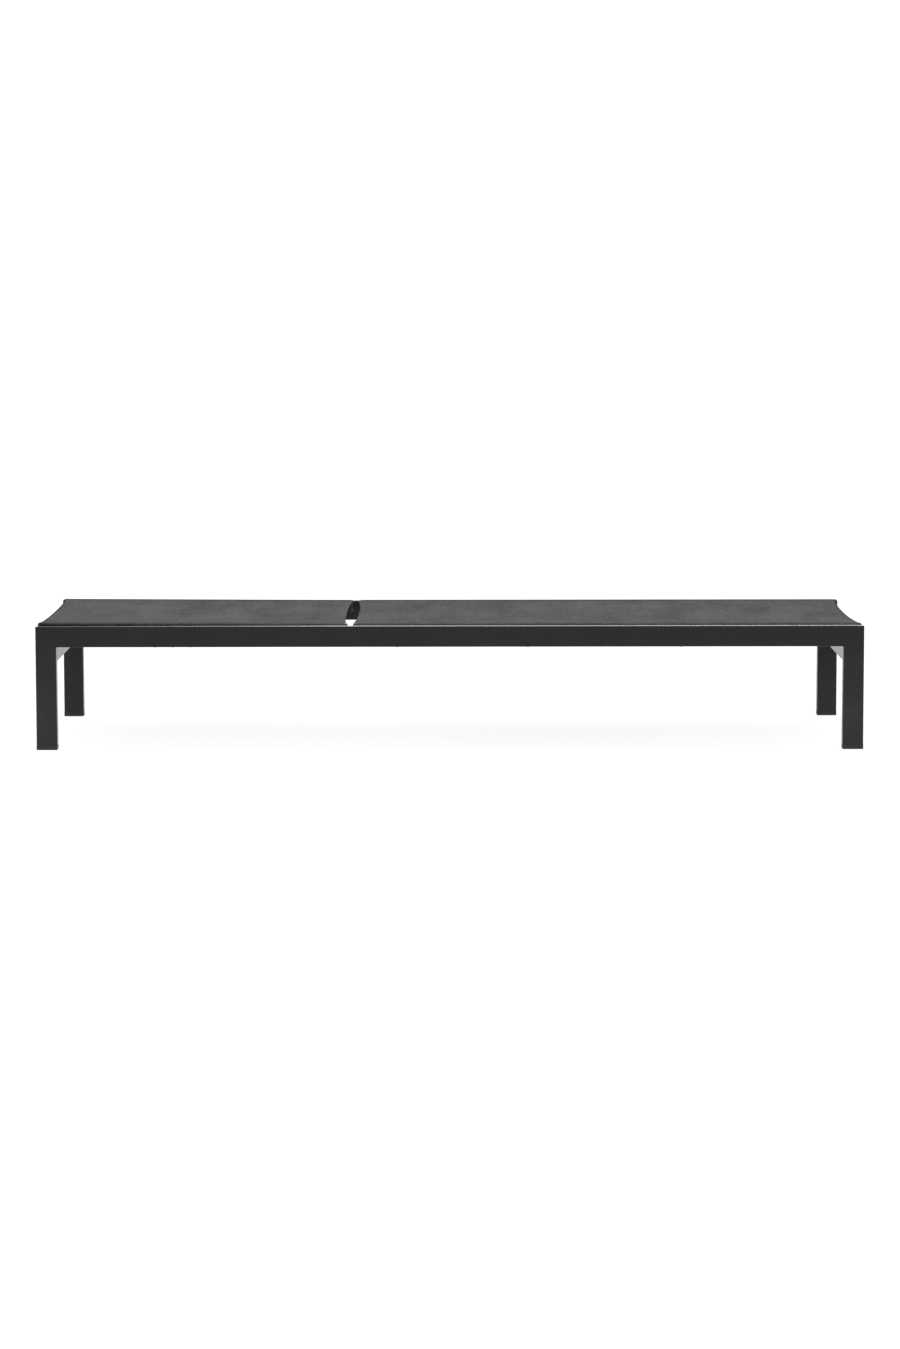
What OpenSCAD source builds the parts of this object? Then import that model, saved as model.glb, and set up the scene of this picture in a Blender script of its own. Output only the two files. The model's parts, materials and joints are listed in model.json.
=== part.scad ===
// Reclining sun lounger. A low frame of aluminium tube carries a fixed seat and a
// hinged backrest. Each has a fabric sling stretched between two slotted rails.
// A prop stay hangs under the backrest, and its foot bar rests in toothed racks.
// X runs along the lounger with the head at -X. The user's right side is -Y.
// Z is up, and the foot glides stand on Z = 0. Modules draw the right side, and
// the left side is its mirror image.

/* [Frame] */
// Length over the frame
length = 2000; // [1900:10:2100]
// Width over the side rails
width = 700; // [640:10:760]
// Height of the side rails' top above the floor
height = 300; // [280:5:400]
// Height of the side rails' tube, and width of the legs seen from the side
tube = 50; // [46:1:54]
// Depth of that tube across the lounger
tube_d = 30; // [28:1:40]
// Wall of the frame tube
tube_wall = 2; // [1.5:0.1:3]
// Radius on the long edges of the frame tube
tube_edge = 2.5; // [1.5:0.1:3.5]
// Drop of the end crossbars below the side rails' top
crossbar_drop = 37; // [34:1:40]
// Height of the cap under each leg
glide_h = 11; // [8:1:16]

/* [Slings] */
// Width of the slotted sling rails
rail = 25; // [24:0.5:26]
// Height of the slotted sling rails
rail_h = 23; // [22:0.5:26]
// Height of the sling rails' top above the side rails
rail_rise = 1; // [0.5:0.5:4]
// Set-back of the sling rails' ends from the frame's ends
rail_setback = 2.5; // [1:0.5:4]
// Gap between a side rail and the sling rail beside it
rail_gap = 4; // [3.6:0.1:5]
// Thickness of the slings
sling_t = 1.2; // [0.8:0.1:1.4]
// Diameter of the rods that hold the slings in the rails' slots
keder_d = 5.6; // [5:0.1:6.5]

/* [Backrest] */
// Distance from the frame's head end to the middle of the gap between the slings
backrest_l = 759; // [740:1:780]
// Gap between the ends of the seat rails and the backrest rails
split_gap = 12; // [12:1:20]
// Distance from that gap's middle to the hinge axis
hinge_back = 49; // [47:1:56]
// Angle that the backrest rests at on its buffers
rest_tilt = 0.3; // [0:0.1:0.6]

/* [Stay] */
// Length of the stay between its pivot and its foot bar, the same as from hinge to pivot
stay_l = 240; // [230:1:250]
// Number of notches in each rack
notches = 3; // [3:1:5]
// Distance between two notches
notch_pitch = 43; // [40:0.5:44]
// Distance from the hinge axis to the notch nearest to the head
notch_first = 423; // [420:1:430]

/* [Hidden] */
$fn = 48;

side_in = width / 2 - tube_d;
sling_top = height + rail_rise;
rail_bottom = sling_top - rail_h;
rail_z = sling_top - rail_h / 2;
rail_out = side_in - rail_gap;
rail_mid = rail_out - rail / 2;
rail_in = rail_out - rail;
rail_wall = 1.8;
rail_edge = 1.5;

split_x = backrest_l - length / 2;
hinge_x = split_x - hinge_back;
hinge_drop = 8;
hinge_z = rail_bottom - hinge_drop;
pivot_x = hinge_x - stay_l;
foot_x = pivot_x - stay_l;
seat_x0 = split_x + split_gap / 2;
seat_x1 = length / 2 - rail_setback;
back_x0 = rail_setback - length / 2;
back_x1 = split_x - split_gap / 2;

end_x = (length - tube) / 2;
crossbar_top = height - crossbar_drop;

cap_l = 8;
cap_wall = 2.5;
cap_round = 5;
cap_lip = 2;
cap_slack = 0.1;

channel_d = keder_d + 1.9;
channel_in = rail / 2 - rail_wall - channel_d / 2;
channel_rise = rail_h / 2 - rail_wall - channel_d / 2;
slot_w = 2.5;
slot_rise = channel_rise + channel_d / 2 - slot_w;

seat_tube = 30;
seat_tube_wall = 1.5;
seat_tube_xs = [split_x + 113, 190, 560];
rail_screw_y = rail_mid - 4;
rail_screw_r = 3;
rivet_nut_r = 4.5;
rivet_nut_l = 12;

back_tube_w = 25;
back_tube_h = 15;
back_tube_y = rail_out - 8;
back_tube_xs = [hinge_x - 55, 95 - length / 2];

fit = 0.02;
running = 0.05;
play = 0.3;

bolt_r = 4;
bolt_head_r = 6.5;
bolt_head_h = 5.3;
bush_r = 6;
bush_flange_r = 7.5;
bush_flange_t = 1.3;
washer_t = 1.5;
washer_r = 7;

hinge_lug_t = 6;
hinge_lug_out = rail_out - 1;
hinge_lug_in = hinge_lug_out - hinge_lug_t;
hinge_flange = hinge_lug_out + bush_flange_t;
hinge_nut_flange = 1.5;
hinge_nut_r = 5.5;
hinge_nut_l = 13;

stay_lug_t = 5;
stay_lug_in = rail_in - stay_lug_t;
stay_washer_in = stay_lug_in - washer_t;
arm_out = stay_washer_in - play - bush_flange_t;
arm_t = 5;
arm_in = arm_out - arm_t;
arm_r = 9;
stay_nut_h = 6.5;
stay_nut_out = arm_in - play - washer_t;

foot_bar_r = 7;
foot_bar_end = side_in - 8;
sleeve_r = 8;
sleeve_l = 18;
cross_bar_r = 6;
cross_bar_at = 70;
bar_wall = 1.5;

rack_top = hinge_z - sleeve_r - 1;
rack_h = 14;
rack_w = 16;
rack_foot_x = hinge_x - 182;
rack_head_x = foot_x - 25;
rack_stop = [10, 13];
rack_screw_r = 2.5;
notch_r = 8.3;
notch_depth = 12;
notch_wall = 2.6;
ramp_l = 26;

buffer_r = 11;
buffer_stem_r = 3.9;

frame_color = [0.19, 0.2, 0.2];
sling_color = [0.36, 0.37, 0.375];
plastic_color = [0.12, 0.12, 0.12];
steel_color = [0.62, 0.63, 0.65];
rubber_color = [0.08, 0.08, 0.08];

// Placing and shaping helpers

module left() {
    mirror([0, 1, 0]) children();
}

module both_sides() {
    children();
    left() children();
}

// Extrudes an outline in X and Z from y0 to y1
module plate(y0, y1) {
    translate([0, y1, 0]) rotate([90, 0, 0]) linear_extrude(y1 - y0) children();
}

// Extrudes a section in Y and Z from x0 to x1
module bar(x0, x1) {
    translate([x0, 0, 0]) rotate([90, 0, 90]) linear_extrude(x1 - x0) children();
}

// A round bar of radius r along Y on the right side, between the distances
// near and far from the middle plane
module pin(x, z, near, far, r) {
    translate([x, -near, z]) rotate([90, 0, 0]) cylinder(h = far - near, r = r);
}

module rounded(w, h, r) {
    square([w - 2 * r, h], center = true);
    square([w, h - 2 * r], center = true);
    for (x = [-1, 1], y = [-1, 1])
        translate([x * (w / 2 - r), y * (h / 2 - r)]) circle(r);
}

module tube_section(w, h, wall, edge) {
    difference() {
        rounded(w, h, edge);
        square([w - 2 * wall, h - 2 * wall], center = true);
    }
}

// A block rounded on all its edges, with its middle at the origin
module rounded_block(x, y, z, r) {
    intersection() {
        translate([0, 0, -z / 2]) linear_extrude(z) rounded(x, y, r);
        plate(-y / 2, y / 2) rounded(x, z, r);
        bar(-x / 2, x / 2) rounded(y, z, r);
    }
}

// A button head screw along +Z with its head below Z = 0
module screw(r, l, head_r, head_h) {
    key_r = r * 0.62;
    key_depth = head_h * 0.55;
    difference() {
        union() {
            cylinder(h = l, r = r);
            rotate_extrude()
                polygon([[0, 0], [head_r, 0], [head_r, -head_h * 0.5],
                         [head_r - head_h * 0.5, -head_h], [0, -head_h]]);
        }
        translate([0, 0, -head_h - 1]) cylinder(h = key_depth + 1, r = key_r, $fn = 6);
    }
}

// A screw along Y on the right side, with its head towards the middle plane
module side_screw(x, z, y, r, l, head_r, head_h) {
    translate([x, -y, z]) rotate([90, 0, 0]) screw(r, l, head_r, head_h);
}

module washer(x, z, near, far, r, hole) {
    difference() {
        pin(x, z, near, far, r);
        pin(x, z, near - 1, far + 1, hole);
    }
}

// The backrest turns about the hinge axis, and rests tilted by rest_tilt
module in_backrest() {
    translate([hinge_x, 0, hinge_z])
        rotate([0, rest_tilt, 0])
            translate([-hinge_x, 0, -hinge_z]) children();
}

// The stay turns back by twice as much, which keeps its foot bar level with the hinge
module in_stay() {
    in_backrest()
        translate([pivot_x, 0, hinge_z])
            rotate([0, -2 * rest_tilt, 0])
                translate([-pivot_x, 0, -hinge_z]) children();
}

// Main frame

// The outline of a side frame, with its rounded top corners
module side_outline() {
    translate([0, height / 2]) rounded(length, height, tube_edge);
}

module side_rail() {
    inner = length / 2 - tube;
    y_mid = side_in + tube_d / 2;
    color(frame_color) difference() {
        intersection() {
            bar(-length / 2, length / 2)
                translate([-y_mid, height - tube / 2]) tube_section(tube_d, tube, tube_wall, tube_edge);
            plate(-width / 2, -side_in) intersection() {
                side_outline();
                polygon([[-length / 2, height], [length / 2, height],
                         [inner, height - tube], [-inner, height - tube]]);
            }
        }
        pin(hinge_x, hinge_z, side_in - 1, side_in + tube_wall + 1, hinge_nut_r + fit);
        for (x = rack_screw_xs())
            pin(x, rack_screw_z(), side_in - 1, side_in + tube_wall + 1, rack_screw_r + fit);
    }
}

// The leg at the head on the right side, mitred to the side rail, with the weld's fillet
module leg() {
    corner = -length / 2 + tube;
    fillet = 3;
    color(frame_color) {
        intersection() {
            translate([-end_x, -(side_in + tube_d / 2), glide_h])
                linear_extrude(height - glide_h) tube_section(tube, tube_d, tube_wall, tube_edge);
            plate(-width / 2, -side_in) intersection() {
                side_outline();
                polygon([[-length / 2, 0], [-length / 2, height],
                         [corner, height - tube], [corner, 0]]);
            }
        }
        plate(-width / 2 + tube_edge, -side_in - tube_edge) difference() {
            translate([corner, height - tube - fillet]) square(fillet);
            translate([corner + fillet, height - tube - fillet]) circle(fillet);
        }
    }
}

module foot_leg() {
    mirror([1, 0, 0]) leg();
}

module glide() {
    lip = 0.3;
    slack = 2 * tube_wall + 0.6;
    stem_h = 22;
    color(plastic_color) translate([-end_x, -(side_in + tube_d / 2), 0]) {
        intersection() {
            translate([0, 0, glide_h]) rounded_block(tube + 2 * lip, tube_d + 2 * lip, 2 * glide_h, 2.5);
            translate([-tube, -tube, 0]) cube([2 * tube, 2 * tube, glide_h]);
        }
        translate([0, 0, glide_h]) linear_extrude(stem_h) tube_section(tube - slack, tube_d - slack, 3, 1);
    }
}

module foot_glide() {
    mirror([1, 0, 0]) glide();
}

module crossbar(x) {
    plate(-side_in, side_in)
        translate([x, crossbar_top - tube / 2]) tube_section(tube, tube, tube_wall, tube_edge);
}

module head_crossbar() {
    color(frame_color) difference() {
        crossbar(-end_x);
        both_sides()
            translate([-end_x, -rail_mid, crossbar_top - tube_wall - 1])
                cylinder(h = tube_wall + 2, r = buffer_stem_r + fit);
    }
}

module foot_crossbar() {
    color(frame_color) difference() {
        crossbar(end_x);
        both_sides()
            translate([end_x, -rail_screw_y, crossbar_top - tube - 1])
                cylinder(h = tube + 2, r = rail_screw_r + play);
    }
}

// A tube across the frame under the seat rails
module seat_tube_at(x) {
    color(frame_color) difference() {
        plate(-side_in, side_in)
            translate([x, rail_bottom - seat_tube / 2])
                tube_section(seat_tube, seat_tube, seat_tube_wall, 2);
        both_sides()
            translate([x, -rail_screw_y, rail_bottom - seat_tube - 1])
                cylinder(h = seat_tube + 2, r = rail_screw_r + play);
    }
}

// Sling rails, shared by the seat and the backrest

// Section of the right rail: a hollow box with a round channel for the keder
// rod, open through a slot in the outer face
module rail_section() {
    difference() {
        rounded(rail, rail_h, rail_edge);
        difference() {
            square([rail - 2 * rail_wall, rail_h - 2 * rail_wall], center = true);
            translate([-channel_in, channel_rise]) circle(d = channel_d + 2 * rail_wall - 0.4);
        }
        translate([-channel_in, channel_rise]) circle(d = channel_d);
        translate([-rail, slot_rise]) square([rail - channel_in, slot_w]);
    }
}

module sling_rail(x0, x1) {
    bar(x0 + cap_wall, x1 - cap_wall)
        translate([-rail_mid, rail_z]) rail_section();
}

// A domed collar closes the rail's end at x. dir is 1 where the rail runs to +X.
module rail_cap(x, dir) {
    color(plastic_color) translate([x, -rail_mid, rail_z]) difference() {
        intersection() {
            translate([dir * cap_l, 0, 0])
                rounded_block(2 * cap_l, rail + 2 * cap_lip, rail_h + 2 * cap_lip, cap_round);
            translate([dir * cap_l / 2, 0, 0]) cube([cap_l, 2 * rail, 2 * rail], center = true);
        }
        translate([dir * (cap_wall + cap_l / 2), 0, 0])
            bar(-cap_l / 2, cap_l / 2) rounded(rail + cap_slack, rail_h + cap_slack, rail_edge);
    }
}

module rail_caps(x0, x1) {
    both_sides() {
        rail_cap(x0, 1);
        rail_cap(x1, -1);
    }
}

module keder_rods(x0, x1) {
    color(plastic_color) both_sides()
        translate([x0 + cap_l, -(rail_mid + channel_in), rail_z + channel_rise])
            rotate([0, 90, 0]) cylinder(h = x1 - x0 - 2 * cap_l, d = keder_d);
}

module sling(x0, x1) {
    color(sling_color)
        translate([x0 + cap_l, -rail_out + 1, sling_top + play])
            cube([x1 - x0 - 2 * cap_l, 2 * (rail_out - 1), sling_t]);
}

// Seat

module seat_rail() {
    color(frame_color) difference() {
        sling_rail(seat_x0, seat_x1);
        for (x = concat(seat_tube_xs, [end_x]))
            translate([x, -rail_screw_y, rail_bottom - 1])
                cylinder(h = rail_wall + 2, r = rivet_nut_r + fit);
    }
}

module seat_rail_rivet_nuts() {
    color(steel_color) both_sides()
        for (x = concat(seat_tube_xs, [end_x]))
            translate([x, -rail_screw_y, rail_bottom]) difference() {
                cylinder(h = rivet_nut_l, r = rivet_nut_r);
                translate([0, 0, -1]) cylinder(h = rivet_nut_l + 2, r = rail_screw_r + fit);
            }
}

module seat_rail_screws() {
    color(steel_color) both_sides()
        for (x = seat_tube_xs)
            translate([x, -rail_screw_y, rail_bottom - seat_tube])
                screw(rail_screw_r, seat_tube + rivet_nut_l - 1, 5.5, 4);
}

module foot_crossbar_bolts() {
    color(steel_color) both_sides()
        translate([end_x, -rail_screw_y, crossbar_top - tube])
            screw(rail_screw_r, rail_bottom - crossbar_top + tube + rivet_nut_l - 1, 5.5, 4);
}

// Blocks between the foot crossbar and the seat rails
module seat_rail_spacers() {
    spacer_h = rail_bottom - crossbar_top;
    spacer_l = 28;
    color(plastic_color) both_sides()
        translate([end_x, -rail_mid, crossbar_top]) difference() {
            linear_extrude(spacer_h) rounded(spacer_l, rail - 2, 3);
            translate([0, rail_mid - rail_screw_y, -1])
                cylinder(h = spacer_h + 2, r = rail_screw_r + play);
        }
}

// Rubber buffers on the head crossbar, just under the resting backrest rails
module rest_buffers() {
    reach = hinge_x + end_x - buffer_r;
    buffer_top = hinge_z + reach * sin(rest_tilt) + hinge_drop * cos(rest_tilt) - play;
    buffer_h = buffer_top - crossbar_top;
    color(rubber_color) both_sides()
        translate([-end_x, -rail_mid, crossbar_top]) {
            rotate_extrude()
                polygon([[0, 0], [buffer_r, 0], [buffer_r - 2, buffer_h - 2],
                         [buffer_r - 4, buffer_h], [0, buffer_h]]);
            translate([0, 0, -tube_wall]) cylinder(h = tube_wall, r = buffer_stem_r);
            translate([0, 0, -tube_wall - 4]) cylinder(h = 4, r1 = buffer_stem_r - 1.5, r2 = buffer_stem_r + 1);
        }
}

// Racks

function notch_x(i) = hinge_x - notch_first + i * notch_pitch;
function rack_screw_xs() = [for (i = [0, 2, 4]) notch_x(i) - 14];
function rack_screw_z() = rack_top - 5.5;

// Right rack: notches with a steep wall towards the head and a ramp towards the feet
module rack() {
    notch_z = rack_top - notch_depth + notch_r;
    color(frame_color) difference() {
        plate(-side_in, -side_in + rack_w) difference() {
            union() {
                translate([rack_head_x, rack_top - rack_h])
                    square([rack_foot_x - rack_head_x, rack_h]);
                translate([rack_foot_x - rack_stop[0], rack_top - rack_h])
                    square([rack_stop[0], rack_h + rack_stop[1]]);
                for (i = [0:notches - 1])
                    intersection() {
                        translate([notch_x(i), notch_z]) circle(notch_r + notch_wall);
                        translate([rack_head_x, rack_top - 2 * rack_h])
                            square([rack_foot_x - rack_head_x, 2 * rack_h]);
                    }
            }
            for (i = [0:notches - 1])
                translate([notch_x(i), notch_z]) {
                    circle(notch_r);
                    translate([-notch_r, 0]) square([notch_r, notch_depth]);
                    polygon([[0, -notch_r * 0.95], [0, notch_depth - notch_r],
                             [ramp_l, notch_depth - notch_r], [notch_r * 0.5, -notch_r * 0.8]]);
                }
        }
        for (x = rack_screw_xs()) {
            pin(x, rack_screw_z(), side_in - rack_w - 1, side_in + 1, rack_screw_r + fit);
            pin(x, rack_screw_z(), side_in - rack_w - 1, side_in - rack_w + 3.2, 4.8);
        }
    }
}

module rack_screws() {
    color(steel_color) both_sides()
        for (x = rack_screw_xs())
            side_screw(x, rack_screw_z(), side_in - rack_w + 3.2, rack_screw_r, 22, 4.5, 2.8);
}

// Hinges

module hinge_bolts() {
    head_y = hinge_lug_in - play - fit - washer_t;
    color(steel_color) both_sides()
        side_screw(hinge_x, hinge_z, head_y, bolt_r, side_in + hinge_nut_l - 2 - head_y,
                   bolt_head_r, bolt_head_h);
}

module hinge_washers() {
    inner = hinge_lug_in - play - fit - washer_t;
    color(steel_color) both_sides() {
        washer(hinge_x, hinge_z, inner, inner + washer_t, washer_r, bolt_r + fit);
        washer(hinge_x, hinge_z, hinge_flange + play, side_in - hinge_nut_flange,
               washer_r, bolt_r + fit);
    }
}

module hinge_rivet_nuts() {
    color(steel_color) both_sides() difference() {
        union() {
            pin(hinge_x, hinge_z, side_in - hinge_nut_flange, side_in, hinge_nut_r + 2.5);
            pin(hinge_x, hinge_z, side_in, side_in + hinge_nut_l, hinge_nut_r);
        }
        pin(hinge_x, hinge_z, side_in - 5, side_in + hinge_nut_l + 1, bolt_r + fit);
    }
}

// Plates welded under the backrest rails
module hinge_lugs() {
    color(frame_color) in_backrest() both_sides() difference() {
        plate(-hinge_lug_out, -hinge_lug_in) translate([hinge_x, hinge_z]) intersection() {
            union() {
                circle(12);
                polygon([[-24, hinge_drop], [24, hinge_drop], [10, -5], [-10, -5]]);
            }
            translate([-30, -30]) square([60, 30 + hinge_drop]);
        }
        pin(hinge_x, hinge_z, hinge_lug_in - 1, hinge_lug_out + 1, bush_r + fit);
    }
}

module bush(x, z, near, far) {
    difference() {
        union() {
            pin(x, z, near, far, bush_r);
            pin(x, z, far, far + bush_flange_t, bush_flange_r);
        }
        pin(x, z, near - 1, far + bush_flange_t + 1, bolt_r + running);
    }
}

module hinge_bushes() {
    color(plastic_color) in_backrest() both_sides()
        bush(hinge_x, hinge_z, hinge_lug_in, hinge_lug_out);
}

// Backrest

module backrest_rail() {
    color(frame_color) in_backrest() sling_rail(back_x0, back_x1);
}

// A flat tube across the backrest under its rails
module backrest_tube_at(x) {
    color(frame_color) in_backrest() plate(-back_tube_y, back_tube_y)
        translate([x, rail_bottom - back_tube_h / 2])
            tube_section(back_tube_w, back_tube_h, bar_wall, 1.5);
}

// Prop stay

// Plates welded to the backrest rails' inner faces, reaching down to the stay's pivot
module stay_lugs() {
    color(frame_color) in_backrest() both_sides() difference() {
        plate(-rail_in, -stay_lug_in) translate([pivot_x, hinge_z]) {
            circle(11);
            polygon([[-18, 27], [18, 27], [18, 10], [10, -4], [-10, -4], [-18, 10]]);
        }
        pin(pivot_x, hinge_z, stay_lug_in - 1, rail_in + 1, bolt_r + fit);
    }
}

module stay_pivot_bolts() {
    color(steel_color) in_backrest() both_sides()
        translate([pivot_x, -rail_in, hinge_z]) rotate([-90, 0, 0])
            screw(bolt_r, rail_in - stay_nut_out + stay_nut_h + 1, bolt_head_r, bolt_head_h);
}

module stay_pivot_washers() {
    color(steel_color) in_backrest() both_sides() {
        washer(pivot_x, hinge_z, stay_washer_in, stay_lug_in, washer_r, bolt_r + fit);
        washer(pivot_x, hinge_z, stay_nut_out, stay_nut_out + washer_t, washer_r, bolt_r + fit);
    }
}

module stay_pivot_nuts() {
    color(steel_color) in_backrest() both_sides() difference() {
        translate([pivot_x, -stay_nut_out, hinge_z]) rotate([-90, 0, 0])
            cylinder(h = stay_nut_h, d = 13 / cos(30), $fn = 6);
        pin(pivot_x, hinge_z, stay_nut_out - stay_nut_h - 1, stay_nut_out + 1, bolt_r + fit);
    }
}

module stay_arm() {
    color(frame_color) in_stay() difference() {
        plate(-arm_out, -arm_in) {
            translate([foot_x, hinge_z - arm_r]) square([stay_l, 2 * arm_r]);
            for (x = [foot_x, pivot_x])
                translate([x, hinge_z]) circle(arm_r);
        }
        pin(pivot_x, hinge_z, arm_in - 1, arm_out + 1, bush_r + fit);
        pin(foot_x, hinge_z, arm_in - 1, arm_out + 1, foot_bar_r + fit);
    }
}

module stay_bushes() {
    color(plastic_color) in_stay() both_sides() bush(pivot_x, hinge_z, arm_in, arm_out);
}

// A round tube across the stay, between -y and y
module stay_tube(x, y, r) {
    color(frame_color) in_stay() difference() {
        pin(x, hinge_z, -y, y, r);
        pin(x, hinge_z, -y - 1, y + 1, r - bar_wall);
    }
}

// Plastic sleeves close the foot bar's ends and ride on the racks
module stay_bar_sleeves() {
    sleeve_end = foot_bar_end + 3;
    color(plastic_color) in_stay() both_sides() difference() {
        pin(foot_x, hinge_z, sleeve_end - sleeve_l, sleeve_end, sleeve_r);
        pin(foot_x, hinge_z, sleeve_end - sleeve_l - 1, foot_bar_end, foot_bar_r + fit);
    }
}

left() side_rail();  // side_rail_left
side_rail();  // side_rail_right
left() leg();  // leg_head_left
leg();  // leg_head_right
left() foot_leg();  // leg_foot_left
foot_leg();  // leg_foot_right
left() glide();  // glide_head_left
glide();  // glide_head_right
left() foot_glide();  // glide_foot_left
foot_glide();  // glide_foot_right
head_crossbar();
foot_crossbar();
seat_tube_at(seat_tube_xs[0]);  // seat_tube_front
seat_tube_at(seat_tube_xs[1]);  // seat_tube_middle
seat_tube_at(seat_tube_xs[2]);  // seat_tube_foot
left() seat_rail();  // seat_rail_left
seat_rail();  // seat_rail_right
rail_caps(seat_x0, seat_x1);  // seat_rail_caps
sling(seat_x0, seat_x1);  // seat_sling
keder_rods(seat_x0, seat_x1);  // seat_keder_rods
seat_rail_screws();
seat_rail_rivet_nuts();
foot_crossbar_bolts();
seat_rail_spacers();
rest_buffers();
left() rack();  // rack_left
rack();  // rack_right
rack_screws();
hinge_bolts();
hinge_washers();
hinge_rivet_nuts();
left() backrest_rail();  // backrest_rail_left
backrest_rail();  // backrest_rail_right
in_backrest() rail_caps(back_x0, back_x1);  // backrest_rail_caps
backrest_tube_at(back_tube_xs[0]);  // backrest_tube_lower
backrest_tube_at(back_tube_xs[1]);  // backrest_tube_upper
in_backrest() sling(back_x0, back_x1);  // backrest_sling
in_backrest() keder_rods(back_x0, back_x1);  // backrest_keder_rods
hinge_lugs();
hinge_bushes();
stay_lugs();
stay_pivot_bolts();
stay_pivot_washers();
stay_pivot_nuts();
left() stay_arm();  // stay_arm_left
stay_arm();  // stay_arm_right
stay_bushes();
stay_tube(foot_x, foot_bar_end, foot_bar_r);  // stay_foot_bar
stay_tube(pivot_x - cross_bar_at, arm_in, cross_bar_r);  // stay_cross_bar
stay_bar_sleeves();
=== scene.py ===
"""Looks of the reclining sun lounger: fabric slings with their seams, finishes, light and camera.

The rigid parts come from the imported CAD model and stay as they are. This script replaces the two
plain sling solids with sewn mesh fabric, gives every part its finish, and sets up a white studio.
All lengths are in metres, in the frame of the CAD model: X along the lounger with the head at -X,
the user's right side at -Y, and Z up.
"""

import json
import math

import bpy
from mathutils import Matrix, Vector
from mathutils import noise


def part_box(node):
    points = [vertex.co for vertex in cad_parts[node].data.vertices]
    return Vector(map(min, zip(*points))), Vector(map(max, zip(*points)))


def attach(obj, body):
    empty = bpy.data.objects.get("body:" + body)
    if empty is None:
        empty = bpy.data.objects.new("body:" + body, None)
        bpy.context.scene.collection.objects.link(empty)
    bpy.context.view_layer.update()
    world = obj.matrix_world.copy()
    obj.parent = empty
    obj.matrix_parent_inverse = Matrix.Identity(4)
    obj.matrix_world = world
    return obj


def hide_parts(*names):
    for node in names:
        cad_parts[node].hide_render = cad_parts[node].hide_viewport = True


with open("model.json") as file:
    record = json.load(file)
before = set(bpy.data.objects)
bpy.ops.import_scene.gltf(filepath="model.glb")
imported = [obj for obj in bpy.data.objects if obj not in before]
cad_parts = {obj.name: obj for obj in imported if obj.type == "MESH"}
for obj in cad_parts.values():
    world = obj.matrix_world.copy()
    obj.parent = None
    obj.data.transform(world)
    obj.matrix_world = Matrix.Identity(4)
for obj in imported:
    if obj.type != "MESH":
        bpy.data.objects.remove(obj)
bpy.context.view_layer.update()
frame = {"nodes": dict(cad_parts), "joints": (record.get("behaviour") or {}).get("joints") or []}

MM = 0.001

# Sling fabric
FABRIC_T = 0.7 * MM
LAYER_GAP = 0.05 * MM
RAIL_CLEARANCE = 0.15 * MM
RAIL_EDGE = 1.5 * MM
POCKET_W = 20 * MM
POCKET_EASE = 2.5 * MM
POCKET_SEAMS = (11 * MM, 17.5 * MM)
HEM_W = 22 * MM
HEM_STEP = 0.9 * MM
HEM_SEAM = 18 * MM
SEAM_DENT = 0.16 * MM
SEAM_HALF_W = 1.3 * MM
CAP_CLEARANCE = 0.3 * MM
PANEL_EDGE = 1 * MM
PANEL_FADE = 6 * MM
BOW_POWER = 2.6
SAG = 3 * MM
END_SAG_SHARE = 0.55
RIPPLE = 0.35 * MM
FINE_RIPPLE = 0.12 * MM
RIPPLE_EDGE = 0.15
WEAVE_PITCH = 1.5 * MM

# Painted shade on the fabric: a darker rim along the folded outer hems, and the ditch between pocket
# seams
RIM_W = 2.5 * MM
RIM_FADE = 4 * MM
RIM_SHADE = 0.8
DITCH_FADE = 1.5 * MM
DITCH_SHADE = 0.75

# Fineness of the fabric's mesh. Columns follow the section and rows cross it.
CORNER_STEPS = 6
MOUTH_STEPS = 4
ROD_STEPS = 18
TOP_STEPS = 3
EASE_STEPS = 4
PANEL_STEPS = 26
PANEL_START = 9 * MM
CAP_COLUMNS = (0, 1.5 * MM, 4 * MM)
SEAM_SHARES = (-1, -0.5, 0, 0.5, 1)
EDGE_SHARES = (0, 0.03, 0.13, 0.3, 0.55, 1, 1.6, 2.4)
HEM_ROWS = (2.5 * MM, 4.5 * MM, 6.5 * MM, 11 * MM, 14.5 * MM)
PAST_HEM_ROWS = (HEM_W, HEM_W + 0.3 * MM, HEM_W + HEM_STEP, 26 * MM, 32 * MM, 40 * MM, 50 * MM)
ROW_PITCH = 10 * MM

# A unit normal with more Z than this belongs to the fabric's flat top stretch
FACES_UP = 0.9

# Stitches
STITCH_L = 3.0 * MM
STITCH_GAP = 1.3 * MM
STITCH_R = 0.28 * MM
STITCH_SIDES = 6


# ---------------------------------------------------------------------------------------------
# Facts read from the frame
# ---------------------------------------------------------------------------------------------


def hinge_point():
    """A point on the backrest's hinge axis."""
    for joint in frame["joints"]:
        if joint["name"] == "backrest_hinge":
            return Vector(joint["pos_m"])


def rest_tilt():
    """The small angle at which the backrest lies on its buffers."""
    seat_low, seat_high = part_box("seat_rail_right")
    low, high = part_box("backrest_rail_right")
    rail_h = seat_high.z - seat_low.z
    return math.asin((high.z - low.z - rail_h) / (high.x - low.x))


def tilt_about_hinge():
    """The matrix that takes the backrest from level to its rest position."""
    hinge = hinge_point()
    turn = Matrix.Rotation(rest_tilt(), 4, "Y")
    return Matrix.Translation(hinge) @ turn @ Matrix.Translation(-hinge)


def rail_facts():
    """Where the slotted rails and their rods lie: heights, and distances from the middle plane."""
    rail_low, rail_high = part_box("seat_rail_right")
    rod_low, rod_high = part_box("seat_keder_rods")
    cap_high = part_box("seat_rail_caps")[1]
    rod_r = (rod_high.z - rod_low.z) / 2
    rail_mid = -(rail_low.y + rail_high.y) / 2
    return {
        "top": rail_high.z,
        "outer": -rail_low.y,
        "inner": -rail_high.y,
        "rod_r": rod_r,
        "rod_y": rod_high.y - rod_r,
        "rod_z": (rod_high.z + rod_low.z) / 2,
        "cap_inner": 2 * rail_mid - cap_high.y,
    }


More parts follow.
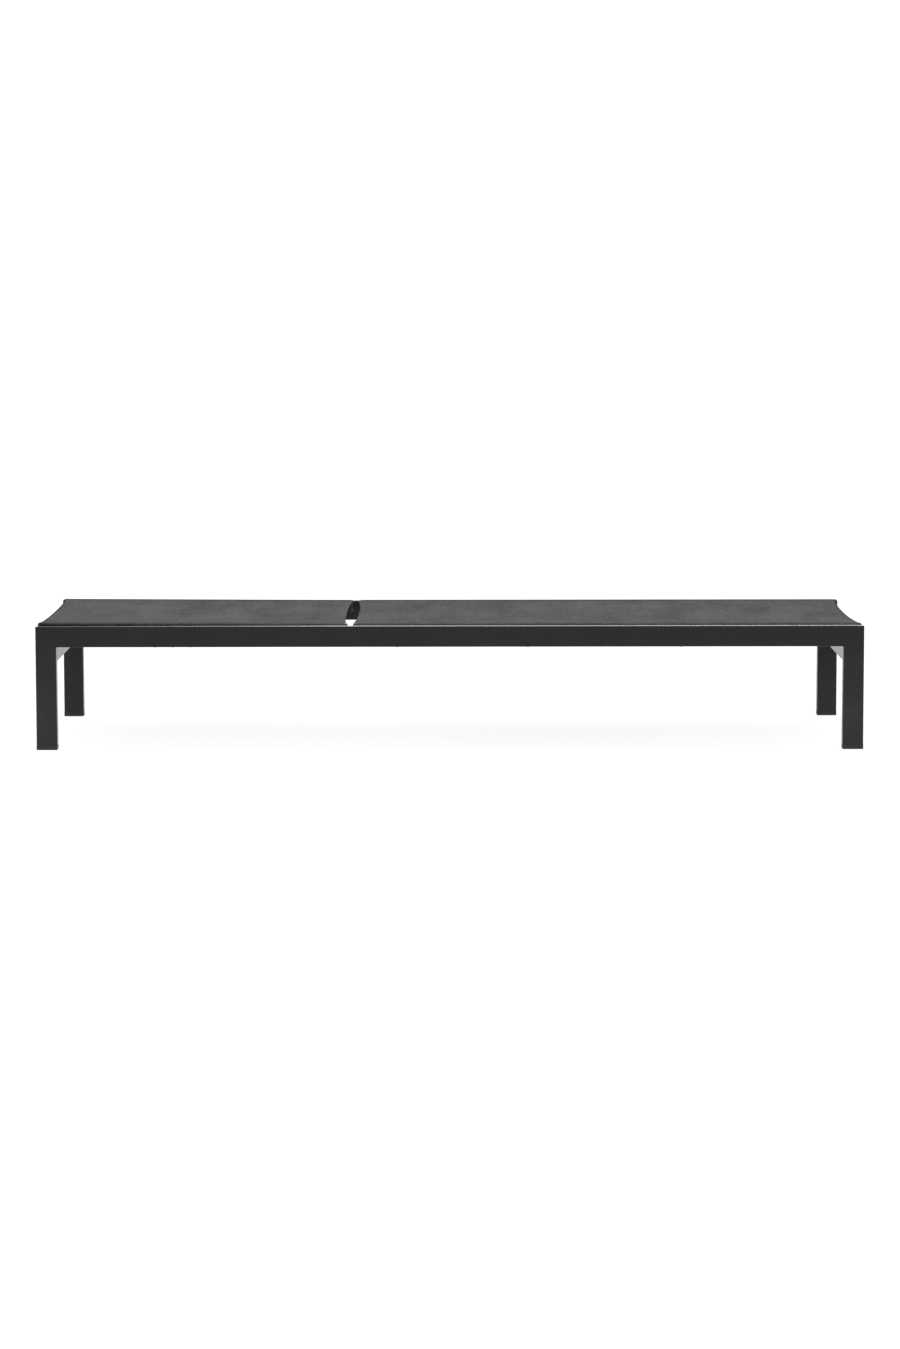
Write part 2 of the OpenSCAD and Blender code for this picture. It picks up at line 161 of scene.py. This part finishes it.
RAIL = rail_facts()
ROD_SPAN = {name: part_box(name + "_keder_rods") for name in ("seat", "backrest")}


# ---------------------------------------------------------------------------------------------
# Small helpers
# ---------------------------------------------------------------------------------------------


def link(obj):
    bpy.context.scene.collection.objects.link(obj)
    return obj


def mesh_object(name, verts, faces, material, smooth=True):
    mesh = bpy.data.meshes.new(name)
    mesh.from_pydata(verts, [], faces)
    mesh.update()
    for face in mesh.polygons:
        face.use_smooth = smooth
    mesh.materials.append(material)
    return link(bpy.data.objects.new(name, mesh))


def smoothstep(t):
    t = min(1.0, max(0.0, t))
    return t * t * (3 - 2 * t)


def arc(centre, radius, start, end, steps):
    """Points on an arc in the plane of y and z, from the angle start to end in degrees."""
    points = []
    for i in range(steps + 1):
        a = math.radians(start + (end - start) * i / steps)
        points.append((centre[0] + radius * math.cos(a), centre[1] + radius * math.sin(a)))
    return points


def spread(start, end, steps):
    """Evenly spaced values from start up to, but without, end."""
    return [start + (end - start) * i / steps for i in range(steps)]


# ---------------------------------------------------------------------------------------------
# Sling fabric
# ---------------------------------------------------------------------------------------------


def layer_height(layer):
    """Height of the middle of a fabric layer above the rail: 0 is the inner layer, 1 the outer."""
    return RAIL_CLEARANCE + FABRIC_T / 2 + layer * (FABRIC_T + LAYER_GAP)


def wrap_down(layer):
    """One layer from the pocket's end over the rail's outer corner to the mouth of the slot."""
    lift = layer_height(layer)
    corner = (RAIL["outer"] - RAIL_EDGE, RAIL["top"] - RAIL_EDGE)
    mouth_z = RAIL["rod_z"] + rod_loop_radius() - layer * (FABRIC_T + LAYER_GAP)
    side_y = RAIL["outer"] + lift
    pocket_y = RAIL["outer"] - POCKET_W
    seams = sorted(RAIL["outer"] - seam for seam in POCKET_SEAMS)
    top_ys = [pocket_y]
    for seam_y in seams:
        top_ys += [seam_y + SEAM_HALF_W * share for share in SEAM_SHARES]
    top_ys += spread(seams[-1] + SEAM_HALF_W, corner[0], TOP_STEPS)[1:]
    points = [(y, RAIL["top"] + lift) for y in top_ys]
    points += arc(corner, RAIL_EDGE + lift, 90, 0, CORNER_STEPS)
    points += arc((side_y - lift, mouth_z + lift), lift, 0, -90, MOUTH_STEPS)
    return points


def rod_loop_radius():
    """Radius of the fabric's middle line round the rod."""
    return RAIL["rod_r"] + LAYER_GAP + FABRIC_T / 2


def rod_loop():
    """The loop round the rod, from the layer that leaves over its top to the one that comes back."""
    radius = rod_loop_radius()
    rise = radius - FABRIC_T - LAYER_GAP
    end = 360 + math.degrees(math.asin(rise / radius))
    return arc((RAIL["rod_y"], RAIL["rod_z"]), radius, 90, end, ROD_STEPS)


def half_section():
    """The fabric's middle line on one side, from the pocket's end nearly to the middle plane."""
    inner_layer = wrap_down(0)
    outer_layer = wrap_down(1)
    outer_layer.reverse()
    points = inner_layer + rod_loop() + outer_layer
    low = RAIL["top"] + layer_height(0)
    drop = layer_height(1) - layer_height(0)
    ease_start = RAIL["outer"] - POCKET_W
    for i in range(1, EASE_STEPS + 1):
        t = i / EASE_STEPS
        points.append((ease_start - POCKET_EASE * t, low + drop * (1 - smoothstep(t))))
    rest_y = RAIL["inner"] + RAIL_EDGE
    ys = [rest_y + (ease_start - POCKET_EASE - rest_y) / 2, rest_y, RAIL["inner"]]
    ys += [RAIL["cap_inner"] - column for column in CAP_COLUMNS]
    ys += spread(RAIL["cap_inner"] - PANEL_START, 0, PANEL_STEPS)
    points += [(y, low) for y in ys]
    return points


def whole_section():
    """The section from the right pocket to the left one, as (y, z) with the right at -y."""
    half = half_section()
    right = [(-y, z) for y, z in half]
    left = [(y, z) for y, z in reversed(half)]
    return right + [(0.0, half[-1][1])] + left


def section_normals(points):
    """Unit normals to the section, which point up on the panel."""
    normals = []
    last = len(points) - 1
    for i in range(len(points)):
        before = points[max(0, i - 1)]
        after = points[min(last, i + 1)]
        dy = after[0] - before[0]
        dz = after[1] - before[1]
        size = math.hypot(dy, dz)
        normals.append((-dz / size, dy / size))
    return normals


def section_length(points):
    return sum(math.dist(a, b) for a, b in zip(points, points[1:]))


def ripple(x, y, waves, seed):
    """Smooth noise from about -1 to 1 at a point, with so many waves per metre along X and Y."""
    return noise.noise(Vector((x * waves[0], y * waves[1], seed)))


class Sling:
    """The shape of one sling: where it ends, which end has a rim of painted shade, and how its edges
    bow.
    """

    def __init__(self, name, head, foot, dark_end, head_reach, foot_reach, head_bow, foot_bow):
        self.name = name
        self.dark_end = dark_end
        self.head = head
        self.foot = foot
        self.reach = {"head": head_reach, "foot": foot_reach}
        self.bow = {"head": head_bow, "foot": foot_bow}

    def on_panel(self, y):
        """1 in the open panel between the rails, fading to 0 at the rails' caps."""
        return smoothstep((RAIL["cap_inner"] - PANEL_EDGE - abs(y)) / PANEL_FADE)

    def inset(self, end, y):
        """How far the fabric's edge lies inside the caps' inner faces at a distance y."""
        across = min(1.0, abs(y) / RAIL["cap_inner"])
        bowed = self.bow[end] * (1 - across**BOW_POWER)
        return (bowed - self.reach[end]) * self.on_panel(y)

    def end_x(self, end, y):
        if end == "head":
            return self.head + CAP_CLEARANCE + self.inset("head", y)
        return self.foot - CAP_CLEARANCE - self.inset("foot", y)

    def stations(self):
        """Distances of the mesh's rows from the head end and from the foot end."""
        edge = [share * FABRIC_T / 2 for share in EDGE_SHARES]
        seam = [HEM_SEAM + SEAM_HALF_W * share for share in SEAM_SHARES]
        return [*edge, *HEM_ROWS, *seam, *PAST_HEM_ROWS]

    def rows(self):
        """Each row as (its distance from the nearer end, which end, its share of the middle)."""
        near = self.stations()
        margin = near[-1]
        length = self.foot - self.head
        count = round((length - 2 * margin) / ROW_PITCH)
        rows = [("head", d, 0.0) for d in near]
        rows += [("middle", 0.0, i / count) for i in range(1, count)]
        rows += [("foot", d, 1.0) for d in reversed(near)]
        return rows

    def place(self, row, y):
        """X of a row at the distance y, and how far it is from the nearer free edge."""
        end, distance, share = row
        head_x = self.end_x("head", y)
        foot_x = self.end_x("foot", y)
        if end == "head":
            return head_x + distance, distance
        if end == "foot":
            return foot_x - distance, distance
        margin = self.stations()[-1]
        x = head_x + margin + (foot_x - head_x - 2 * margin) * share
        return x, min(x - head_x, foot_x - x)

    def lower(self, x, y):
        """How far the panel hangs below the rails' tops at a point."""
        across = abs(y) / (RAIL["inner"] + RAIL_EDGE)
        if across >= 1:
            return 0.0
        along = (x - self.head) / (self.foot - self.head)
        along_share = END_SAG_SHARE + (1 - END_SAG_SHARE) * (1 - (2 * along - 1) ** 4)
        wobble = ripple(x, y, (9, 5), 3.1) * RIPPLE
        wobble += ripple(x, y, (31, 7), 7.7) * FINE_RIPPLE
        calm = smoothstep((1 - across) / RIPPLE_EDGE)
        return SAG * along_share * (1 - across**2) + wobble * calm


def dent(distance):
    """Depth to which a seam pulls the surface down at a distance from its line."""
    share = distance / SEAM_HALF_W
    return SEAM_DENT * (1 - share**2) ** 2 if abs(share) < 1 else 0.0


def hem_share(edge_distance, panel):
    """1 where the hem is folded under, and 0 past it and over the rails."""
    return panel * (1 - smoothstep((edge_distance - HEM_W) / HEM_STEP))


def painted_shade(sling, x, y, panel):
    """How much painted shade the fabric has at a point: at the folded edges of the outer hems and in
    the ditch between the pocket seams.
    """
    from_end = abs(x - sling.end_x(sling.dark_end, y))
    rim = 1 - smoothstep((from_end - RIM_W) / RIM_FADE)
    seam_low, seam_high = POCKET_SEAMS
    from_edge = RAIL["outer"] - abs(y)
    off_seams = max(seam_low - from_edge, from_edge - seam_high, 0.0)
    ditch = 1 - smoothstep(off_seams / DITCH_FADE)
    return max(RIM_SHADE * rim * panel, DITCH_SHADE * ditch)


def sling_surfaces(sling):
    """Top and bottom points of the fabric, row by row, and how much painted shade each has."""
    section = whole_section()
    normals = section_normals(section)
    tops = []
    bottoms = []
    shades = []
    for row in sling.rows():
        top_row = []
        bottom_row = []
        shade_row = []
        for (y, z), (ny, nz) in zip(section, normals):
            x, edge_distance = sling.place(row, y)
            panel = sling.on_panel(y)
            extra = hem_share(edge_distance, panel) * (FABRIC_T + LAYER_GAP)
            half = (FABRIC_T + extra) / 2
            rounding = max(0.0, 1 - edge_distance / half)
            half_here = half * math.sqrt(1 - rounding**2)
            pulled = dent(edge_distance - HEM_SEAM) * panel
            shade = 0.0
            # On the flat top stretch, seams pull the surface down and painted shade darkens the hem
            # rims and the seam ditch
            if nz > FACES_UP:
                from_edge = RAIL["outer"] - abs(y)
                pulled = max([pulled] + [dent(from_edge - seam) for seam in POCKET_SEAMS])
                shade = painted_shade(sling, x, y, panel)
            mid_z = z - sling.lower(x, y)
            up = half_here - extra / 2 - pulled * half_here / half
            down = -half_here - extra / 2 + pulled * 0.5 * half_here / half
            top_row.append((x, y + ny * up, mid_z + nz * up))
            bottom_row.append((x, y + ny * down, mid_z + nz * down))
            shade_row.append(shade)
        tops.append(top_row)
        bottoms.append(bottom_row)
        shades.append(shade_row)
    return tops, bottoms, shades


def sling_mesh(sling):
    """One closed thin mesh: its first and last rows are single lines that round off the edge."""
    tops, bottoms, shades = sling_surfaces(sling)
    rows = len(tops)
    cols = len(tops[0])
    verts = [p for row in tops for p in row]
    shade = [value for row in shades for value in row]
    under = {}
    for r in range(rows):
        for c in range(cols):
            if r in (0, rows - 1):
                under[r, c] = r * cols + c
            else:
                under[r, c] = len(verts)
                verts.append(bottoms[r][c])
                shade.append(0.0)
    faces = []
    for r in range(rows - 1):
        for c in range(cols - 1):
            a = r * cols + c
            faces.append((a, a + cols, a + cols + 1, a + 1))
            corners = (under[r, c], under[r, c + 1], under[r + 1, c + 1], under[r + 1, c])
            faces.append(corners)
    for c, flip in ((0, False), (cols - 1, True)):
        for r in range(rows - 1):
            ring = [r * cols + c, under[r, c], under[r + 1, c], (r + 1) * cols + c]
            ring = list(dict.fromkeys(ring))
            if flip:
                ring.reverse()
            faces.append(tuple(ring))
    return verts, faces, shade


def stitch_ring(point, along, up, radius):
    """A ring of points round a thread."""
    across = along.cross(up)
    ring = []
    for i in range(STITCH_SIDES):
        a = 2 * math.pi * i / STITCH_SIDES
        ring.append(point + (across * math.cos(a) + up * math.sin(a)) * radius)
    return ring


def add_stitch(verts, faces, start, end, up):
    """One stitch: a short thread that dives into the fabric at both ends.

    Its shape is a list of rings, each with its share of the length, its height and its width,
    both of them as shares of the thread's radius.
    """
    along = (end - start).normalized()
    shape = [(0.0, -1.4, 0.55), (0.1, -0.2, 0.9), (0.3, 0.35, 1.0), (0.7, 0.35, 1.0)]
    shape += [(0.9, -0.2, 0.9), (1.0, -1.4, 0.55)]
    first = len(verts)
    for t, height, width in shape:
        point = start.lerp(end, t) + up * height * STITCH_R
        verts.extend(stitch_ring(point, along, up, STITCH_R * width))
    for k in range(len(shape) - 1):
        ring = first + k * STITCH_SIDES
        for i in range(STITCH_SIDES):
            a = ring + i
            b = ring + (i + 1) % STITCH_SIDES
            faces.append((a, b, b + STITCH_SIDES, a + STITCH_SIDES))
    faces.append(tuple(first + i for i in reversed(range(STITCH_SIDES))))
    last = first + (len(shape) - 1) * STITCH_SIDES
    faces.append(tuple(last + i for i in range(STITCH_SIDES)))


def add_seam(verts, faces, line, up):
    """Stitches along a line of points, one after another with small gaps."""
    pitch = STITCH_L + STITCH_GAP
    length = sum((b - a).length for a, b in zip(line, line[1:]))
    count = int((length - STITCH_GAP) / pitch)
    offset = (length - count * pitch + STITCH_GAP) / 2
    for i in range(count):
        begin = point_at(line, offset + i * pitch)
        finish = point_at(line, offset + i * pitch + STITCH_L)
        add_stitch(verts, faces, begin, finish, up)


def point_at(line, distance):
    """The point at a distance along a line of points."""
    for a, b in zip(line, line[1:]):
        step = (b - a).length
        if distance <= step:
            return a.lerp(b, distance / step)
        distance -= step
    return line[-1]


def surface_z(sling, x, y):
    """Height of the fabric's top on the flat stretch and the panel."""
    return RAIL["top"] + layer_height(0) + FABRIC_T / 2 - sling.lower(x, y)


def sling_seams(sling):
    """The stitches: two seams on top of each pocket, and one along each hem, above and below."""
    verts = []
    faces = []
    up = Vector((0, 0, 1))
    pocket_z = RAIL["top"] + layer_height(1) + FABRIC_T / 2 - SEAM_DENT
    end_margin = 2 * MM
    side_margin = 5 * MM
    for seam in POCKET_SEAMS:
        seam_y = RAIL["outer"] - seam
        start_x = sling.end_x("head", seam_y) + end_margin
        finish_x = sling.end_x("foot", seam_y) - end_margin
        for side in (-1, 1):
            line = [Vector((x, side * seam_y, pocket_z)) for x in (start_x, finish_x)]
            add_seam(verts, faces, line, up)
    reach = RAIL["cap_inner"] - side_margin
    steps = 60
    under = 2 * FABRIC_T + LAYER_GAP - SEAM_DENT / 2
    for end, sign in (("head", 1), ("foot", -1)):
        above = []
        below = []
        for i in range(steps + 1):
            y = reach * (2 * i / steps - 1)
            x = sling.end_x(end, y) + sign * HEM_SEAM
            z = surface_z(sling, x, y)
            above.append(Vector((x, y, z - SEAM_DENT)))
            below.append(Vector((x, y, z - under)))
        add_seam(verts, faces, above, up)
        add_seam(verts, faces, below, -up)
    return verts, faces


def make_sling(sling, body, material, thread):
    """Makes the fabric and its stitches, in place on their body."""
    verts, faces, shade = sling_mesh(sling)
    cloth = mesh_object(sling.name + "_sling_fabric", verts, faces, material)
    # The shade attribute carries the painted shade of the hem rims and the seam ditch to the fabric's
    # material
    cloth.data.attributes.new("shade", "FLOAT", "POINT").data.foreach_set("value", shade)
    seam_verts, seam_faces = sling_seams(sling)
    stitches = mesh_object(sling.name + "_sling_stitches", seam_verts, seam_faces, thread)
    if body == "backrest":
        tilt = tilt_about_hinge()
        cloth.data.transform(tilt)
        stitches.data.transform(tilt)
    width = section_length(whole_section())
    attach(cloth, body)
    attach(stitches, body)
    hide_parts(sling.name + "_sling")


def seat_sling_shape():
    low, high = ROD_SPAN["seat"]
    return Sling(
        "seat", low.x, high.x, "foot", head_reach=8.3 * MM, foot_reach=2.5 * MM,
        head_bow=8.8 * MM, foot_bow=9 * MM,
    )


def backrest_sling_shape():
    low, high = ROD_SPAN["backrest"]
    return Sling(
        "backrest", low.x, high.x, "head", head_reach=2.5 * MM, foot_reach=4.3 * MM,
        head_bow=4 * MM, foot_bow=6.8 * MM,
    )


# ---------------------------------------------------------------------------------------------
# Materials
# ---------------------------------------------------------------------------------------------


class Nodes:
    """A short way to build a material's node tree."""

    def __init__(self, name):
        self.material = bpy.data.materials.new(name)
        self.material.use_nodes = True
        self.tree = self.material.node_tree
        self.tree.nodes.clear()
        self.output = self.add("ShaderNodeOutputMaterial")
        self.surface = self.add("ShaderNodeBsdfPrincipled")
        self.join(self.surface.outputs["BSDF"], self.output.inputs["Surface"])
        coords = self.add("ShaderNodeTexCoord")
        self.position = coords.outputs["Object"]

    def add(self, kind, **settings):
        node = self.tree.nodes.new(kind)
        for key, value in settings.items():
            setattr(node, key, value)
        return node

    def join(self, source, target):
        self.tree.links.new(source, target)

    def set(self, **values):
        for key, value in values.items():
            self.surface.inputs[key.replace("_", " ")].default_value = value

    def noise(self, scale, detail, stretch=None):
        """A noise texture's value on the object's coordinates."""
        source = self.position
        if stretch:
            mapping = self.add("ShaderNodeMapping")
            mapping.inputs["Scale"].default_value = stretch
            self.join(source, mapping.inputs["Vector"])
            source = mapping.outputs["Vector"]
        node = self.add("ShaderNodeTexNoise")
        node.inputs["Scale"].default_value = scale
        node.inputs["Detail"].default_value = detail
        self.join(source, node.inputs["Vector"])
        return node.outputs["Fac"]

    def math(self, operation, a, b=None):
        """The result of a math node on sockets or plain numbers."""
        node = self.add("ShaderNodeMath", operation=operation)
        for socket, value in zip(node.inputs, (a, b)):
            if value is None:
                continue
            if isinstance(value, (int, float)):
                socket.default_value = value
            else:
                self.join(value, socket)
        return node.outputs[0]

    def remap(self, value, low, high, new_low, new_high):
        """A value taken from the range low to high to the range new_low to new_high."""
        node = self.add("ShaderNodeMapRange")
        node.inputs["From Min"].default_value = low
        node.inputs["From Max"].default_value = high
        node.inputs["To Min"].default_value = new_low
        node.inputs["To Max"].default_value = new_high
        self.join(value, node.inputs["Value"])
        return node.outputs["Result"]

    def blend(self, *parts):
        """A factor about 0.5 that each (value, weight) pair moves up and down."""
        total = 0.5 - 0.5 * sum(weight for _, weight in parts)
        for value, weight in parts:
            total = self.math("ADD", self.math("MULTIPLY", value, weight), total)
        return total

    def mix_colors(self, factor, dark, light):
        """A mix of two colours, each a tuple or a socket, from dark at 0 to light at 1."""
        node = self.add("ShaderNodeMix", data_type="RGBA")
        self.join(factor, node.inputs[0])
        for socket, value in ((node.inputs[6], dark), (node.inputs[7], light)):
            if isinstance(value, tuple):
                socket.default_value = (*value, 1)
            else:
                self.join(value, socket)
        return node.outputs[2]

    def bump(self, height, strength, distance):
        node = self.add("ShaderNodeBump")
        node.inputs["Strength"].default_value = strength
        node.inputs["Distance"].default_value = distance
        self.join(height, node.inputs["Height"])
        self.join(node.outputs["Normal"], self.surface.inputs["Normal"])

    def color(self, socket):
        self.join(socket, self.surface.inputs["Base Color"])

    def roughness(self, socket):
        self.join(socket, self.surface.inputs["Roughness"])


def powder_coat():
    """Satin charcoal powder coat with a fine orange-peel surface, lighter and warmer towards the
    floor: a little dust with painted floor-bounce light.
    """
    coat_dark = (0.0125, 0.0134, 0.0138)
    coat_light = (0.0165, 0.0176, 0.0181)
    # Lighter, warmer colour low on the frame: dust, and painted light bounced up from the floor
    dust_and_bounce_color = (0.0335, 0.033, 0.0315)
    dust_and_bounce_top = 0.27
    dust_and_bounce_full = 0.09
    most_dust_and_bounce = 0.75
    n = Nodes("frame_powder_coat_finish")
    parts = n.add("ShaderNodeSeparateXYZ")
    n.join(n.position, parts.inputs[0])
    patches = n.noise(14, 4)
    tone = n.blend((n.noise(6, 3), 1.2), (n.noise(900, 2), 0.8))
    coat = n.mix_colors(tone, coat_dark, coat_light)
    # Painted floor-bounce light with dust: the coat lightens and warms towards the floor, and gets a
    # little rougher
    low = n.remap(parts.outputs["Z"], dust_and_bounce_top, dust_and_bounce_full, 0, most_dust_and_bounce)
    dust_and_bounce = n.math("MULTIPLY", low, n.remap(patches, 0.3, 0.7, 0.6, 1.2))
    n.color(n.mix_colors(dust_and_bounce, coat, dust_and_bounce_color))
    gloss = n.remap(patches, 0.25, 0.75, 0.21, 0.26)
    n.roughness(n.math("ADD", gloss, n.math("MULTIPLY", dust_and_bounce, 0.12)))
    n.set(Specular_IOR_Level=0.15)
    peel = n.math("ADD", n.noise(700, 2), n.math("MULTIPLY", n.noise(2600, 1), 0.4))
    n.bump(peel, 0.12, 0.25 * MM)
    return n.material


def thread_wave(n, coordinate):
    """A smooth wave from 0 to 1 along one coordinate, one period per thread."""
    turns = n.math("MULTIPLY", coordinate, 2 * math.pi / WEAVE_PITCH)
    wave = n.math("SINE", turns)
    return n.math("ADD", n.math("MULTIPLY", wave, 0.5), 0.5)


def sling_mesh_fabric():
    """Woven mesh of coated yarn: a fine plain weave with slow bands in both directions, and painted
    shade at the hem rims and between the pocket seams.
    """
    yarn_dark = (0.048, 0.049, 0.052)
    yarn_light = (0.0915, 0.0932, 0.0985)
    # Colour of the painted shade at the hem rims and in the ditch between the pocket seams
    painted_shade_color = (0.012, 0.0122, 0.0125)
    n = Nodes("sling_mesh_fabric_finish")
    parts = n.add("ShaderNodeSeparateXYZ")
    n.join(n.position, parts.inputs[0])
    along = parts.outputs["X"]
    across = n.math("SUBTRACT", n.math("ABSOLUTE", parts.outputs["Y"]), parts.outputs["Z"])
    warp = thread_wave(n, along)
    weft = thread_wave(n, across)
    over = thread_wave(n, n.math("ADD", along, across))
    weave = n.math("MULTIPLY", n.math("ADD", warp, weft), 0.5)
    weave = n.math("ADD", n.math("MULTIPLY", weave, 0.7), n.math("MULTIPLY", over, 0.3))
    streaks = n.noise(1, 3, stretch=(14, 190, 190))
    bars = n.noise(1, 3, stretch=(150, 12, 12))
    clouds = n.noise(1, 3, stretch=(10, 3.5, 3.5))
    tone = n.blend((clouds, 1.9), (bars, 1.0), (streaks, 0.9), (weave, 0.4))
    # Painted shade: the mesh's shade attribute darkens the hem rims and the seam ditch towards the
    # shade colour
    shade = n.add("ShaderNodeAttribute", attribute_name="shade").outputs["Fac"]
    n.color(n.mix_colors(shade, n.mix_colors(tone, yarn_dark, yarn_light), painted_shade_color))
    n.roughness(n.remap(weave, 0, 1, 0.85, 0.75))
    n.set(Specular_IOR_Level=0.04)
    n.bump(weave, 0.35, 0.25 * MM)
    return n.material


def thread_polyester():
    """Dark twisted sewing thread."""
    n = Nodes("thread_polyester_finish")
    tone = n.noise(500, 2)
    n.color(n.mix_colors(tone, (0.012, 0.012, 0.013), (0.03, 0.031, 0.032)))
    n.set(Roughness=0.6, Specular_IOR_Level=0.3)
    n.bump(n.noise(2500, 2), 0.3, 0.1 * MM)
    return n.material


def grey(value):
    return (value, value, value)


def moulded(name, dark, light, roughness, grain):
    """Moulded plastic or rubber with a fine spark-eroded grain."""
    n = Nodes(name)
    n.color(n.mix_colors(n.noise(40, 3), dark, light))
    n.roughness(n.remap(n.noise(120, 3), 0.3, 0.7, *roughness))
    n.set(Specular_IOR_Level=0.4)
    n.bump(n.noise(grain, 3), 0.18, 0.2 * MM)
    return n.material


def glide_plastic():
    return moulded("glide_plastic_finish", grey(0.012), grey(0.02), roughness=(0.5, 0.62), grain=900)


def cap_plastic():
    dark = (0.016, 0.017, 0.018)
    light = (0.024, 0.025, 0.026)
    return moulded("cap_plastic_finish", dark, light, roughness=(0.42, 0.55), grain=1200)


def bearing_nylon():
    return moulded("bearing_nylon_finish", grey(0.018), grey(0.03), roughness=(0.32, 0.42), grain=600)


def keder_plastic():
    return moulded("keder_plastic_finish", grey(0.04), grey(0.055), roughness=(0.4, 0.5), grain=500)


def buffer_rubber():
    return moulded("buffer_rubber_finish", grey(0.01), grey(0.018), roughness=(0.72, 0.85), grain=700)


def stainless_steel():
    """Turned stainless steel with fine machining marks."""
    n = Nodes("stainless_fasteners_finish")
    marks = n.noise(1, 3, stretch=(300, 3000, 3000))
    n.color(n.mix_colors(n.noise(80, 2), (0.5, 0.5, 0.51), (0.6, 0.6, 0.61)))
    n.roughness(n.remap(marks, 0.3, 0.7, 0.24, 0.4))
    n.set(Metallic=1.0)
    n.bump(marks, 0.1, 0.1 * MM)
    return n.material


def finish_cad_parts(finishes):
    """Gives every CAD part the finish of its material slot."""
    for part in frame["nodes"].values():
        for place in part.material_slots:
            if place.material.name in finishes:
                place.material = finishes[place.material.name]


# ---------------------------------------------------------------------------------------------
# Studio
# ---------------------------------------------------------------------------------------------


def studio_world():
    """White surroundings that fall off to grey behind the camera."""
    world = bpy.data.worlds.new("studio")
    bpy.context.scene.world = world
    world.use_nodes = True
    tree = world.node_tree
    tree.nodes.clear()
    output = tree.nodes.new("ShaderNodeOutputWorld")
    background = tree.nodes.new("ShaderNodeBackground")
    background.inputs["Color"].default_value = (1, 1, 1, 1)
    tree.links.new(background.outputs[0], output.inputs[0])
    coords = tree.nodes.new("ShaderNodeTexCoord")
    parts = tree.nodes.new("ShaderNodeSeparateXYZ")
    tree.links.new(coords.outputs["Generated"], parts.inputs[0])
    fall = tree.nodes.new("ShaderNodeMapRange")
    fall.interpolation_type = "SMOOTHSTEP"
    fall.inputs["From Min"].default_value = -0.3
    fall.inputs["From Max"].default_value = 1.0
    fall.inputs["To Min"].default_value = 0.5
    fall.inputs["To Max"].default_value = 2.1
    tree.links.new(parts.outputs["Y"], fall.inputs["Value"])
    tree.links.new(fall.outputs["Result"], background.inputs["Strength"])


def floor_material():
    """Pale floor with a glow of its own, as on a light table. It shows from above only."""
    n = Nodes("studio_floor")
    speckle = n.noise(30, 2)
    n.color(n.mix_colors(speckle, grey(0.29), grey(0.31)))
    n.set(Roughness=0.9, Specular_IOR_Level=0.0)
    n.surface.inputs["Emission Color"].default_value = (1, 1, 1, 1)
    n.surface.inputs["Emission Strength"].default_value = 0.85
    clear = n.add("ShaderNodeBsdfTransparent")
    side = n.add("ShaderNodeNewGeometry")
    pick = n.add("ShaderNodeMixShader")
    n.join(side.outputs["Backfacing"], pick.inputs[0])
    n.join(n.surface.outputs["BSDF"], pick.inputs[1])
    n.join(clear.outputs["BSDF"], pick.inputs[2])
    n.join(pick.outputs[0], n.output.inputs["Surface"])
    return n.material


def studio_floor():
    half = 60.0
    corners = [(-half, -half, 0), (half, -half, 0), (half, half, 0), (-half, half, 0)]
    floor = mesh_object("studio_floor", corners, [(0, 1, 2, 3)], floor_material(), smooth=False)


def softbox(name, place, target, size, power):
    """A rectangular light at a place, aimed at a target."""
    data = bpy.data.lights.new(name, "AREA")
    data.shape = "RECTANGLE"
    data.size, data.size_y = size
    data.energy = power
    lamp = link(bpy.data.objects.new(name, data))
    lamp.location = place
    lamp.rotation_euler = (Vector(target) - Vector(place)).to_track_quat("-Z", "Y").to_euler()


def studio_lights():
    softbox("front_softbox", place=(0, -4.0, 3.2), target=(0, 0, 0.2), size=(5, 2), power=60)


def studio_camera():
    """A long lens in front of the lounger's right side, 0.9 m above it and looking slightly down."""
    height = 1.2308
    distance = 9.673
    offset = 0.0187
    look_down = math.radians(6.412)
    turn = math.radians(0.111)
    roll = math.radians(-0.089)
    data = bpy.data.cameras.new("studio_camera")
    data.sensor_width = 36
    data.lens = 103.7
    camera = link(bpy.data.objects.new("studio_camera", data))
    camera.location = (offset, -distance, height)
    pan = Matrix.Rotation(turn, 3, "Z")
    pitch = Matrix.Rotation(math.pi / 2 - look_down, 3, "X")
    lean = Matrix.Rotation(roll, 3, "Z")
    camera.rotation_euler = (pan @ pitch @ lean).to_euler()
    bpy.context.scene.camera = camera


def studio():
    scene = bpy.context.scene
    scene.view_settings.view_transform = "Standard"
    scene.view_settings.look = "None"
    studio_world()
    studio_floor()
    studio_lights()
    studio_camera()


# ---------------------------------------------------------------------------------------------
# The whole scene
# ---------------------------------------------------------------------------------------------

studio()
FINISHES = {
    "frame_powder_coat": powder_coat(),
    "sling_fabric": sling_mesh_fabric(),
    "glide_plastic": glide_plastic(),
    "cap_plastic": cap_plastic(),
    "bearing_nylon": bearing_nylon(),
    "keder_plastic": keder_plastic(),
    "stainless_fasteners": stainless_steel(),
    "buffer_rubber": buffer_rubber(),
}
finish_cad_parts(FINISHES)
THREAD = thread_polyester()
make_sling(seat_sling_shape(), "frame", FINISHES["sling_fabric"], THREAD)
make_sling(backrest_sling_shape(), "backrest", FINISHES["sling_fabric"], THREAD)
